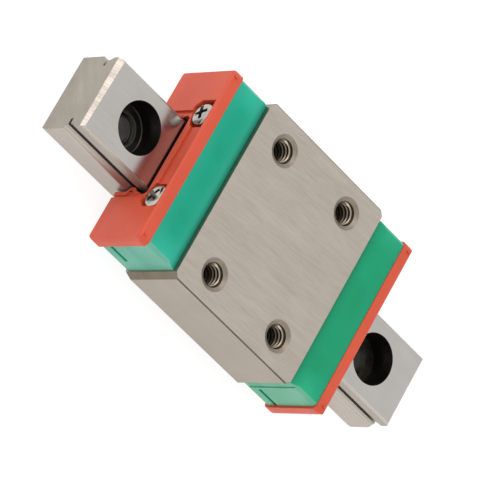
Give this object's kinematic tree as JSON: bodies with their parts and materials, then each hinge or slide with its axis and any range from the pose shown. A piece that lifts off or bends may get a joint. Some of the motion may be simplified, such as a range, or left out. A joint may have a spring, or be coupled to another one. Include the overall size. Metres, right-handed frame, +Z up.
{
  "type": "linear guide carriage",
  "caption": "Miniature recirculating-ball linear guide: a steel carriage with plastic end caps and wiping end seals, sliding on a short length of counterbored profile rail.",
  "frame": {"origin": "on the rail's underside and its centre line, halfway along the rail; at rest the carriage's middle is 0.25 mm towards -X", "axes": "+X along the rail towards the rear end cap, +Y to the carriage's left, +Z up out of the carriage's top face"},
  "size_m": [0.0392, 0.017, 0.008],
  "materials": {
    "rail_steel": "ground, satin",
    "block_steel": "ground, fine lines along the rail",
    "green_plastic": "moulded, satin",
    "red_elastomer": "moulded, satin",
    "screw_steel": "bright nickel plate",
    "guide_plastic": "moulded",
    "wire_steel": "drawn",
    "ball_steel": "polished"
  },
  "bodies": {
    "rail": {"guide_rail": "rail_steel"},
    "carriage": {"carriage_block": "block_steel", "front_end_cap": "green_plastic", "rear_end_cap": "green_plastic", "front_end_seal": "red_elastomer", "rear_end_seal": "red_elastomer", "front_cap_screw_left": "screw_steel", "front_cap_screw_right": "screw_steel", "rear_cap_screw_left": "screw_steel", "rear_cap_screw_right": "screw_steel", "front_return_guide_left": "guide_plastic", "front_return_guide_right": "guide_plastic", "rear_return_guide_left": "guide_plastic", "rear_return_guide_right": "guide_plastic", "ball_wire_left": "wire_steel", "ball_wire_right": "wire_steel", "ball_left_01": "ball_steel", "ball_left_02": "ball_steel", "ball_left_03": "ball_steel", "ball_left_04": "ball_steel", "ball_left_05": "ball_steel", "ball_left_06": "ball_steel", "ball_left_07": "ball_steel", "ball_left_08": "ball_steel", "ball_left_09": "ball_steel", "ball_left_10": "ball_steel", "ball_left_11": "ball_steel", "ball_left_12": "ball_steel", "ball_left_13": "ball_steel", "ball_left_14": "ball_steel", "ball_left_15": "ball_steel", "ball_left_16": "ball_steel", "ball_left_17": "ball_steel", "ball_left_18": "ball_steel", "ball_left_19": "ball_steel", "ball_left_20": "ball_steel", "ball_left_21": "ball_steel", "ball_right_01": "ball_steel", "ball_right_02": "ball_steel", "ball_right_03": "ball_steel", "ball_right_04": "ball_steel", "ball_right_05": "ball_steel", "ball_right_06": "ball_steel", "ball_right_07": "ball_steel", "ball_right_08": "ball_steel", "ball_right_09": "ball_steel", "ball_right_10": "ball_steel", "ball_right_11": "ball_steel", "ball_right_12": "ball_steel", "ball_right_13": "ball_steel", "ball_right_14": "ball_steel", "ball_right_15": "ball_steel", "ball_right_16": "ball_steel", "ball_right_17": "ball_steel", "ball_right_18": "ball_steel", "ball_right_19": "ball_steel", "ball_right_20": "ball_steel", "ball_right_21": "ball_steel"}
  },
  "joints": [
    {"name": "carriage_slide", "type": "slide", "parent": "rail", "child": "carriage", "axis": [1, 0, 0], "range_m": [-0.0077, 0.0082]}
  ]
}
